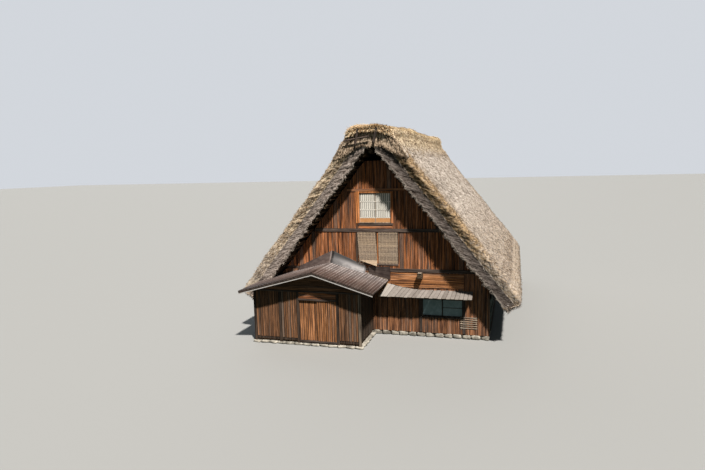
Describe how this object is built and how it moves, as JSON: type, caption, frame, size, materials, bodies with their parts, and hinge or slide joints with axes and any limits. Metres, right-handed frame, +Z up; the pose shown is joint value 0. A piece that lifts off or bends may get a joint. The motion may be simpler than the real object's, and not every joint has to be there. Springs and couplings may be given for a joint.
{
  "type": "minka farmhouse",
  "caption": "Thatched gassho farmhouse with boarded gables, attic windows and a low annex with sliding doors against its front gable.",
  "frame": {"origin": "at ground level, at the middle of the whole plan", "axes": "+Z up, +Y from the front gable with the annex to the back gable, along the ridge, +X to the right seen from the front"},
  "size_m": [15.64, 21.98, 11.88],
  "materials": {
    "stone": "rough pale foundation stone",
    "floor_boards": "planed floor boards, dark with age",
    "wall_boards": "weathered red-brown vertical boards",
    "annex_boards": "weathered brown boards, grey streaks",
    "dark_timber": "dark old timber",
    "grey_timber": "silver-grey weathered timber",
    "log": "smoked round and squared logs",
    "thatch": "grey-brown weathered reed thatch",
    "ridge_straw": "fresher golden straw on the ridge",
    "shoji_paper": "white paper behind thin wooden bars",
    "window_glass": "blue-grey window glass",
    "reed": "grey-tan woven reed screen",
    "sheet_roof": "brown lapped sheet metal roofing",
    "flashing": "dull lilac-grey sheet flashing",
    "awning_boards": "pale grey weathered awning boards"
  },
  "bodies": {
    "house": {"footing": "stone", "ground_floor": "floor_boards", "attic_floor": "floor_boards", "loft_floor": "floor_boards", "front_wall_ground": "wall_boards", "front_wall_attic": "wall_boards", "front_wall_loft": "wall_boards", "front_frame": "dark_timber", "ridge_poles_front": "dark_timber", "back_wall_ground": "wall_boards", "back_wall_attic": "wall_boards", "back_wall_loft": "wall_boards", "back_frame": "dark_timber", "ridge_poles_back": "dark_timber", "right_wall": "wall_boards", "right_glazing": "window_glass", "left_wall": "wall_boards", "left_glazing": "window_glass", "thatch_right": "thatch", "thatch_left": "thatch", "roof_frame_right": "log", "roof_frame_left": "log", "ridge_beam": "log", "ridge_cap": "ridge_straw", "shoji_left": "shoji_paper", "shoji_right": "shoji_paper", "attic_shoji": "shoji_paper", "front_window": "window_glass", "back_loft_shoji": "shoji_paper", "back_attic_shoji": "shoji_paper", "back_window": "window_glass", "reed_blind_right": "reed", "reed_blind_left": "reed", "awning": "awning_boards", "awning_frame": "dark_timber", "plank_panel": "wall_boards", "beam_end": "grey_timber", "slat_rack": "grey_timber", "annex_footing": "stone", "annex_floor": "floor_boards", "door_sill": "dark_timber", "annex_corner_post_left": "dark_timber", "annex_door_post_left": "dark_timber", "annex_door_post_right": "dark_timber", "annex_corner_post_right": "dark_timber", "annex_wall_left": "annex_boards", "annex_wall_right": "annex_boards", "annex_gable": "annex_boards", "annex_side_left": "annex_boards", "annex_side_right": "annex_boards", "annex_roof_right": "sheet_roof", "annex_roof_left": "sheet_roof", "flashing_left": "flashing", "flashing_right": "flashing"},
    "door_left": {"door_left": "annex_boards"},
    "door_right": {"door_right": "annex_boards"}
  },
  "joints": [
    {"name": "door_left_slide", "type": "slide", "parent": "house", "child": "door_left", "axis": [1, 0, 0], "range_m": [0, 1]},
    {"name": "door_right_slide", "type": "slide", "parent": "house", "child": "door_right", "axis": [-1, 0, 0], "range_m": [0, 1]}
  ]
}
